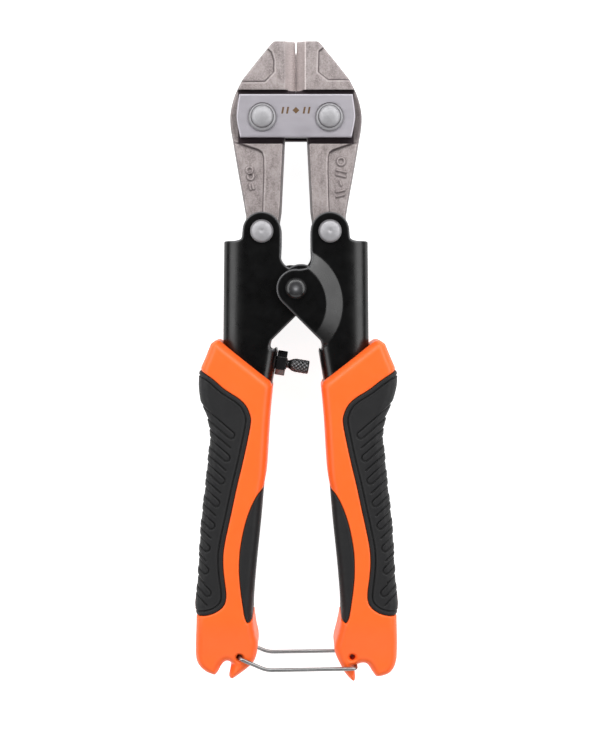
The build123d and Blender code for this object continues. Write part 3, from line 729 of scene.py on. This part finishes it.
def jaw_shade_and_grind(side, g, points, steep):
    """How much painted shade a jaw gets, and where it is freshly ground or given painted highlights, at points in
    millimetres.
    """
    x, y, half = points[:, 0], points[:, 1], np.abs(points[:, 2] - MID)
    corner, leg = (plan_at(g, field, points) for field in (corner_pocket(g, side), leg_pocket(g)))
    bevel = ease((BEVEL_W[side] - x) / 0.25 + 0.5) * (y > RECESS_HIGH)
    # painted shade on the upright sides, away from the bevel
    painted_shade = 0.62 * ease((steep - 0.3) / 0.35) * (1 - bevel)
    # painted shade along the corner pocket's edge
    shade = 0.55 + 0.35 * ease((90.5 - y) / 1.5) if side < 0 else 0.75
    painted_shade = np.maximum(painted_shade, shade * line_on(corner, 0.2 + 0.12 * ease((89.6 - y) / 0.6)))
    # painted shade along the leg pocket's edge
    painted_shade = np.maximum(painted_shade, 0.72 * line_on(leg, 0.17 + 0.25 * ease((y - 65.6) / 0.8)))
    # painted shade in the plates' recess, lighter on the crescents beyond the plates' ends
    band = (half < JAW_HALF - 0.1) & (half > 2.5) & (y > RECESS_LOW - 0.1) & (y < RECESS_HIGH + 0.1)
    crescent = ease((x - 18.0) / 0.4)
    painted_shade = np.maximum(painted_shade, band * (1 - crescent * (0.45 if side > 0 else 0.85)))
    ground = bevel * (0.55 + 0.45 * ease(1 - x / BEVEL_W[side]))
    if side > 0:
        # painted highlight: a light line along the right jaw's bevel ridge
        ground = np.maximum(ground * 0.8, line_on(x - BEVEL_W[side] - 0.1, 0.24) * (y > RECESS_HIGH))
    for kind, a, b in stroke_marks(side):
        place = Points(points)
        far = np.abs(np.hypot(x - a[0], y - a[1]) - b) if kind == "ring" else to_segment(place, a, b)
        # painted shade at the foot of each raised mark
        painted_shade = np.maximum(painted_shade, 0.48 * line_on(far - 0.5, 0.16))
    # painted highlight lines along the pockets' rims
    ground = np.maximum(ground, 0.6 * line_on(corner - 0.55, 0.16))
    ground = np.maximum(ground, 0.45 * line_on(leg - 0.5, 0.16))
    return painted_shade, ground


def make_jaws():
    for side, word in ((1, "right"), (-1, "left")):
        g, field = jaw_field(side)
        points, faces = skin(g, field)
        shape = mirrored(points, faces) if side < 0 else (points, faces)
        piece = mesh_piece(f"{word}_jaw_look", *shape, f"{word}_jaw", [f"{word}_jaw"],
                           PAINTS["forged_steel"], "forged_steel")
        # painted shade, and the ground bevel with its painted highlight lines
        painted_shade, ground = jaw_shade_and_grind(side, g, points, steepness(piece))
        lay(piece, "painted_shade", painted_shade)
        lay(piece, "ground", ground)


# ---------------------------------------- frames
FRAME_STEP = 0.27
FRAME_LOW = -16.8
EAR_IN, EAR_OUT = 7.3, 9.5
RAMP_CENTRE, RAMP_TOP_R, RAMP_FOOT_R, RAMP_CLEAR_R = (-3.9, 18.5), 13.3, 18.7, 15.4
EAR_R, LOBE_R = 6.1, 6.1
HOLLOW_EDGE = 2.0
NECK_TOP = [(4.6, 38), (4.6, 41.4)]
NECKS = {
    "stepped": [(1.0, 29.4), (2.9, 29.7), (4.1, 30.3), (4.65, 31.5), (4.8, 33.2), (4.7, 35.2)] + NECK_TOP,
    "flat": [(2.15, 29.8), (3.6, 31.0), (4.3, 32.0), (4.7, 33.2), (4.65, 35.2)] + NECK_TOP,
}


def flange_outline(kind, ear, tab_x):
    """One flange's free edges, running out past the folded web and tab."""
    px, py = HANDLE_PIVOT
    vee = ear[0] + ear[1] - EAR_R * math.sqrt(2)
    neck = NECKS[kind]
    start = math.degrees(math.atan2(neck[0][1] - ear[1], neck[0][0] - ear[0]))
    fold = tab_x + 0.1
    outline = arc(ear, EAR_R, 225, start, 40)[:-1] + curve(neck, 5)[:-1]
    outline += arc((px, py), LOBE_R, 180, 0, 32)
    side_x = px + LOBE_R
    outline += curve([(side_x, py), (side_x + 0.25, py - 2.0), (side_x + 1.0, SHOULDER_Y + 0.35),
                      (side_x + 2.4, SHOULDER_Y)], 5)
    knob = min(fold + 0.9, 7.35)
    outline += [(30, SHOULDER_Y), (30, -30), (0, -30), (0, TAB_TOP - 1.0), (fold - 0.3, TAB_TOP - 1.0)]
    outline += [(fold + 0.05, TAB_TOP - 0.7), (fold + 0.3, TAB_TOP - 0.15)]
    outline += curve([(knob, TAB_TOP), (knob + 0.3, 4.3), (knob + 0.6, 4.1), (8.1, 4.5), (8.2, 5.3),
                      (8.0, 6.3), (7.7, vee - 7.7)], 4)
    return outline


def frame_field(tab_x):
    """The right-hand pressed channel: web and tab folded from two flanges, one of them with a step."""
    g = Grid((-7.4, -17.4, MID - 8.0), (23.8, 48.4, MID + EAR_OUT + 0.8), FRAME_STEP)
    lift_to = np.hypot(g.x - RAMP_CENTRE[0], g.y - RAMP_CENTRE[1])
    lift = (EAR_OUT - SHEET_OUT) * np.clip((RAMP_FOOT_R - lift_to) / (RAMP_FOOT_R - RAMP_TOP_R), 0, 1)
    front = g.z > MID
    rise = np.abs(g.z - MID) - np.where(front, lift, 0)
    web = g.x - WEB_X - (SHOULDER_Y - g.y) * WEB_LEAN
    tab = (tab_x + (TAB_TOP - g.y) * TAB_SLOPE - g.x) / math.hypot(1, TAB_SLOPE)
    tab_there = np.where(g.y < TAB_TOP + 1.2, tab, -9)
    slanted = np.where(front & (lift > 0) & (lift < EAR_OUT - SHEET_OUT), 0.92, 1)
    outside = both(crowned(web, (rise - SHEET_OUT) * slanted, *FOLD),
                   both(tab_there, rise - SHEET_OUT, TAB_FOLD))
    hollow_tab = np.minimum(tab + (SHEET_OUT - SHEET_IN), TAB_TOP + 0.8 - g.y)
    flat_rise = np.abs(g.z - MID)
    hollow = both(both(web + (SHEET_OUT - SHEET_IN), flat_rise - SHEET_IN, HOLLOW_EDGE),
                  both(hollow_tab, flat_rise - SHEET_IN, HOLLOW_EDGE))
    under_ear = both(lift_to - RAMP_CLEAR_R, np.where(front, flat_rise - EAR_IN, 9))
    hollow = either(hollow, both(under_ear, np.minimum(tab + 2.2, TAB_TOP + 0.8 - g.y)))
    sheet = less(outside, hollow)
    stepped = inside_outline(g, flange_outline("stepped", CENTRE, tab_x))
    flat_ear = (CENTRE[0] - 1.6, CENTRE[1] + 1.6)
    flat = inside_outline(g, flange_outline("flat", flat_ear, tab_x))
    cut = np.where(front, stepped, flat)
    frame_part = both(sheet, cut, 0.45)
    frame_part = both(frame_part, FRAME_LOW - g.y)
    for px, py in (HANDLE_PIVOT, CENTRE):
        frame_part = less(frame_part, np.hypot(g.x - px, g.y - py) - HANDLE_HOLE)
    return g, frame_part, stepped, flat


def make_frames():
    for side, word, body in ((1, "right", "right_handle"), (-1, "left", "left_handle")):
        g, field, stepped, flat = frame_field(TAB_X[side])
        if side < 0:    # the hole for the stop screw
            ax, ay = -SCREW_AXIS[0], SCREW_AXIS[1]
            dx, dy = g.x + SCREW_START[0], g.y - SCREW_START[1]
            away = np.hypot(dx * ay - dy * ax, g.z - MID)
            field = less(field, both(away - 2.05, np.abs(dx * ax + dy * ay) - 6))
        points, faces = skin(g, field)
        shape = turned_over(points, faces) if side < 0 else (points, faces)
        piece = mesh_piece(f"{word}_handle_frame_look", *shape, body, [f"{word}_handle_frame"],
                           PAINTS["frame_paint"], "frame_paint")
        edge = np.where(points[:, 2] > MID, plan_at(g, stepped, points), plan_at(g, flat, points))
        # painted highlight: a lighter line along each flange's cut edge, on its outer faces
        lay(piece, "rim", 0.8 * line_on(edge + 0.12, 0.3) * ease((np.abs(points[:, 2] - MID) - 5.4) / 0.6))


# ---------------------------------------- link plates
PLATE_STEP = 0.2


def make_plates():
    g = Grid((-19.2, PLATE_LOW - 0.6, MID + PLATE_IN - 0.5),
             (19.2, PLATE_HIGH + 0.6, MID + PLATE_OUT + 0.5), PLATE_STEP)
    right_bow = [(17.45, PLATE_LOW), (18.48, 76), (18.45, 79), (17.75, PLATE_HIGH)]
    left_bow = [(-x, y) for x, y in right_bow[::-1]]
    plan = inside_outline(g, curve(left_bow, 8) + curve(right_bow, 8))
    middle = MID + (PLATE_IN + PLATE_OUT) / 2
    plate = both(plan, np.abs(g.z - middle) - (PLATE_OUT - PLATE_IN) / 2, 0.4)
    for side in (1, -1):
        plate = less(plate, np.hypot(g.x - side * JAW_PIVOT[0], g.y - JAW_PIVOT[1]) - PLATE_HOLE)
    shape = skin(g, plate)
    for word, part in (("front", shape), ("rear", turned_over(*shape))):
        piece = mesh_piece(f"{word}_link_plate_look", *part, "link_plates", [f"{word}_link_plate"],
                           PAINTS["plate_steel"], "plate_steel")
        half = np.abs(part[0][:, 2] - MID)
        # painted shade on the inner face, edges and holes; the outer face keeps its steel colour
        lay(piece, "painted_shade", ease((PLATE_OUT - 0.25 - half) / 0.3))


def make_plate_mark():
    """A plain etched mark of bars and a lozenge between the rivets."""
    vertices, faces = [], []
    top, tall = MID + PLATE_OUT + 0.012, 1.05
    marks = [[(-4.6 + s, -tall), (-4.0 + s, -tall), (-3.6 + s, tall), (-4.2 + s, tall)] for s in (0, 1.5)]
    marks += [[(4.2 - s, -tall), (3.6 - s, -tall), (4.0 - s, tall), (4.6 - s, tall)][::-1] for s in (0, 1.5)]
    marks += [[(-1.1, 0), (0, -tall), (1.1, 0), (0, tall)]]
    for outline in marks:
        faces.append([len(vertices) + n for n in range(len(outline))])
        vertices += [(x, JAW_PIVOT[1] + 2.0 + y, top) for x, y in outline]
    mesh_piece("plate_mark", vertices, faces, "link_plates", [], PAINTS["mark"], "plate_steel")


# ---------------------------------------- rivets
DIMPLE_DEPTH, DIMPLE_R = 0.28, 0.55
PLATE_SHAFT, HANDLE_SHAFT = 2.48, 2.18


def dome(r0, h0, h1, steps, power=2.0):
    """Points up a crown from radius r0 at h0 to the axis at h1."""
    turns = np.linspace(0, math.pi / 2, steps + 1)
    return [(max(r0 * math.cos(t), 0.02), h0 + (h1 - h0) * math.sin(t) ** (2 / power)) for t in turns]


def rivet_profile(style, base, crown, radius):
    """Half a rivet, from its waist up to the pole, measured from the middle plane."""
    top = base + crown
    if style == "ringed":       # a sloping skirt, a fine groove and a full dome
        rim = [(radius - 0.12, base), (radius, base + 0.12), (radius, base + 0.42),
               (radius - 0.18, base + 0.66), (radius - 0.7, base + 0.98), (radius - 0.88, base + 1.0),
               (radius - 0.95, base + 0.96)]
        return rim + dome(radius - 1.0, base + 0.98, top, 18)
    rim = [(radius - 0.1, base), (radius, base + 0.1), (radius, base + 0.35), (radius - 0.1, base + 0.6)]
    crown_line = dome(radius - 0.16, base + 0.66, top, 20, 2.2)
    return rim + [(r, h - DIMPLE_DEPTH * math.exp(-(r / DIMPLE_R) ** 2)) for r, h in crown_line]


def make_rivet(node, body, style, grip, shaft, paint):
    x, y, _ = middle_of(node)
    low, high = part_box(node)
    radius = (high.x - low.x) / 2 / MM - 0.01
    crown = (high.z - low.z) / 2 / MM - grip
    half = [(shaft, 0.0), (shaft, grip)] + rivet_profile(style, grip, crown - 0.01, radius)
    line = [(r, MID - h) for r, h in half[::-1]] + [(r, MID + h) for r, h in half[1:]]
    points, faces = lathe(line, (x, y))
    piece = mesh_piece(node + "_look", points, faces, body, [node], PAINTS[paint], paint)
    out = np.hypot(points[:, 0] - x, points[:, 1] - y)
    # painted shade: the head's outer skirt darker towards the top, and a dark line in the ringed heads' fine
    # groove
    seat = ease((out - radius + 0.75) / 0.25) * (0.45 + 0.55 * (points[:, 1] - y) / radius)
    groove_shade = line_on(out - radius + 0.95, 0.16)
    lay(piece, "painted_shade", np.clip(np.maximum(seat, 0.7 * groove_shade) if style == "ringed" else 0.6 * seat, 0, 1))
    if paint == "black_hardware":       # painted highlight: a glint at the head's centre and a faint lighter disc round it
        lay(piece, "rim", 0.9 * np.exp(-(out / 0.75) ** 2) + 0.13 * ease((2.9 - out) / 1.6))


def make_rivets():
    for word in ("right", "left"):
        make_rivet(f"{word}_jaw_rivet", "link_plates", "ringed", PLATE_OUT, PLATE_SHAFT, "rivet_steel")
    for word in ("right", "left"):
        make_rivet(f"{word}_handle_rivet", f"{word}_handle", "dimpled", SHEET_OUT, HANDLE_SHAFT,
                   "rivet_steel")
    make_rivet("centre_pivot_rivet", "left_handle", "dimpled", EAR_OUT, HANDLE_SHAFT, "black_hardware")


# ---------------------------------------- stop screw and nut
NUT_STEP = 0.12
NUT_MIDDLE, NUT_HALF, NUT_FLAT, NUT_BORE = 1.65, 1.58, 3.48, 2.03
THREAD_PITCH, THREAD_LOW, THREAD_HIGH = 0.7, -5.6, 3.45
KNURL_LOW, KNURL_HIGH, KNURL_R, KNURL_DEPTH = 4.9, 10.3, 2.19, 0.26
NECK_R, NECK_HIGH = 1.42, 4.3


def along_screw(vertices):
    """Turns a shape made about +Z at the origin so that it lies along the screw's axis."""
    axis = Vector(SCREW_AXIS).normalized()
    turn = axis.to_track_quat("Z", "Y").to_matrix()
    return np.array(vertices) @ np.array(turn).T + np.array([*SCREW_START, MID])


def make_lock_nut():
    g = Grid((-4.6, -4.6, -0.4), (4.6, 4.6, 3.8), NUT_STEP)
    flats = np.full((1, 1, 1), -9.0)
    for n in range(6):
        t = math.radians(60 * n + 30)
        flats = both(flats, g.x * math.cos(t) + g.y * math.sin(t) - NUT_FLAT, 0.1)
    nut = both(flats, np.abs(g.z - NUT_MIDDLE) - NUT_HALF, 0.1)
    cone = np.hypot(g.x, g.y) - 5.35 + np.abs(g.z - NUT_MIDDLE)
    nut = both(nut, cone * 0.72)
    nut = less(nut, np.hypot(g.x, g.y) - NUT_BORE, 0.2)
    vertices, faces = skin(g, nut)
    mesh_piece("stop_lock_nut_look", along_screw(vertices), faces, "lock_nut", ["stop_lock_nut"],
               PAINTS["black_hardware"], "black_hardware")


def crossing(t, h):
    """0 on the knurl's two sets of crossing lines, and up to 1 between them."""
    return abs(math.cos(5 * t + h * 2.4) * math.cos(5 * t - h * 2.4))


def knurl(t, h):
    if not KNURL_LOW < h < KNURL_HIGH:
        return 0
    fade = min(1, (h - KNURL_LOW) / 0.3, (KNURL_HIGH - h) / 0.3)
    return -KNURL_DEPTH * fade * (1 - min(1, 1.6 * crossing(t, h)))


def make_screw():
    def thread(h):
        return 1.86 + 0.12 * math.cos(2 * math.pi * h / THREAD_PITCH)

    def flare(h):
        """The radius from the neck up to the knurled end."""
        spread = math.sin(min(1, (h - NECK_HIGH) / 2.2) * math.pi / 2)
        return min(KNURL_R, NECK_R + (KNURL_R - NECK_R) * spread)

    line = [(0.02, -5.95), (1.4, -5.95), (1.7, -5.75)]
    line += [(thread(h), h) for h in np.arange(THREAD_LOW, THREAD_HIGH, 0.09)]
    line += [(1.6, 3.5), (1.3, 3.65), (1.28, 4.05), (NECK_R, NECK_HIGH)]
    line += [(flare(h), h) for h in np.arange(4.36, KNURL_HIGH, 0.075)]
    line += [(KNURL_R, KNURL_HIGH), (2.14, 10.42), (1.9, 10.56), (1.5, 10.6), (0.02, 10.6)]
    vertices, faces = lathe(line, (0, 0), 168, knurl)
    piece = mesh_piece("stop_screw_look", along_screw(vertices), faces, "stop_screw", ["stop_screw"],
                       PAINTS["black_hardware"], "black_hardware")
    # painted highlight: light lines along the knurl's crossing lines
    mottle_and_knurl_highlight = [ease((0.24 - crossing(math.atan2(y, x), h)) / 0.14) * (5.2 < h < 10.2) for x, y, h in vertices]
    lay(piece, "rim", mottle_and_knurl_highlight)


# ---------------------------------------- latch wire
WIRE_R = 0.62
WIRE_INSET = WIRE_R + 0.01      # the wire's middle line from its CAD box
WIRE_IN_GRIP = 9.2


def latch_path():
    """The wire's middle line, in millimetres, with its height measured from the middle plane."""
    out = half_height("latch_bail") - WIRE_INSET
    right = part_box("latch_bail")[1].x / MM - WIRE_INSET
    hole, knee, corner = LATCH_PIVOT, (-9.3, -97.0), (right, -96.5)
    upper = [(*corner, out), (*knee, out), (*hole, out), (*hole, out - WIRE_IN_GRIP)]
    corners = [(x, y, -z) for x, y, z in upper[::-1]] + upper
    bends = [1.2, 2.0, 1.6, 1.6, 2.0, 1.2]
    path = [Vector(corners[0])]
    for before, here, after, bend in zip(corners, corners[1:], corners[2:], bends):
        here, back, on = Vector(here), Vector(before) - Vector(here), Vector(after) - Vector(here)
        a, b = here + back.normalized() * bend, here + on.normalized() * bend
        for n in range(9):
            t = n / 8
            path.append(a * (1 - t) ** 2 + here * 2 * t * (1 - t) + b * t * t)
    return path + [Vector(corners[-1])]


def make_latch():
    path = latch_path()
    line = bpy.data.curves.new("latch_line", "CURVE")
    line.dimensions = "3D"
    line.bevel_depth = WIRE_R * MM
    line.bevel_resolution = 8
    line.use_fill_caps = True
    spline = line.splines.new("POLY")
    spline.points.add(len(path) - 1)
    for point, place in zip(spline.points, path):
        point.co = (place.x * MM, place.y * MM, (place.z + MID) * MM, 1)
    holder = bpy.data.objects.new("latch_line", line)
    bpy.context.scene.collection.objects.link(holder)
    mesh = bpy.data.meshes.new_from_object(holder)
    bpy.data.objects.remove(holder)
    mesh.polygons.foreach_set("use_smooth", [True] * len(mesh.polygons))
    mesh.materials.clear()
    mesh.materials.append(PAINTS["latch_wire"])
    mesh.name = "latch_bail_look"
    piece = bpy.data.objects.new("latch_bail_look", mesh)
    bpy.context.scene.collection.objects.link(piece)
    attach(piece, "latch")
    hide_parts("latch_bail")


def paint_hidden():
    for node in ("pivot_bush", "handle_spring"):
        mesh = frame["nodes"][node].data
        mesh.materials.clear()
        mesh.materials.append(PAINTS["spring_steel"])


# ---------------------------------------- studio
FLOOR_HALF, FLOOR_TOP = 3000, -0.4
BOX_SIZE = (820, 300)
LENS_PER_HEIGHT = 1287 / 729        # focal length over the picture's height


def area_light(name, place_mm, aim_mm, size_mm, power):
    lamp = bpy.data.lights.new(name, "AREA")
    lamp.shape = "RECTANGLE"
    lamp.size, lamp.size_y = size_mm[0] * MM, size_mm[1] * MM
    lamp.energy = power
    holder = bpy.data.objects.new(name, lamp)
    bpy.context.scene.collection.objects.link(holder)
    holder.location = Vector(place_mm) * MM
    way = Vector(aim_mm) - Vector(place_mm)
    holder.rotation_euler = way.to_track_quat("-Z", "Y").to_euler()


def make_studio():
    mesh = bpy.data.meshes.new("floor")
    reach = FLOOR_HALF * MM
    corners = [(x * reach, y * reach, FLOOR_TOP * MM) for x, y in ((-1, -1), (1, -1), (1, 1), (-1, 1))]
    mesh.from_pydata(corners, [], [(0, 1, 2, 3)])
    paper = Paint("pale_floor", (0.5, 0.5, 0.5), 0.9, Emission_Color=(1, 1, 1, 1), Emission_Strength=0.9)
    mesh.materials.append(paper.material)
    floor = bpy.data.objects.new("floor", mesh)
    bpy.context.scene.collection.objects.link(floor)
    world = bpy.data.worlds.new("studio")
    world.use_nodes = True
    world.node_tree.nodes["Background"].inputs["Color"].default_value = (1, 1, 1, 1)
    world.node_tree.nodes["Background"].inputs["Strength"].default_value = 0.05
    bpy.context.scene.world = world
    area_light("left_box", (-430, 150, 400), (0, 20, 10), BOX_SIZE, 2.9)
    area_light("right_box", (430, 150, 400), (0, 20, 10), BOX_SIZE, 3.2)
    area_light("top_box", (0, 490, 420), (0, 20, 10), (780, 300), 2.9)
    area_light("low_box", (0, -460, 420), (0, -20, 10), (700, 300), 1.0)


def make_camera():
    tilt = math.radians(2.869)
    lens = bpy.data.cameras.new("camera")
    lens.sensor_width = 36.0
    lens.lens = lens.sensor_width * LENS_PER_HEIGHT
    lens.clip_start, lens.clip_end = 0.02, 20
    holder = bpy.data.objects.new("camera", lens)
    bpy.context.scene.collection.objects.link(holder)
    holder.location = (0.00128, 0.0198, 0.4232)
    holder.rotation_euler = (-tilt, 0, 0)
    bpy.context.scene.camera = holder


make_grips()
make_jaws()
make_frames()
make_plates()
make_plate_mark()
make_rivets()
make_lock_nut()
make_screw()
make_latch()
paint_hidden()
make_studio()
make_camera()
bpy.context.scene.view_settings.view_transform = "Standard"
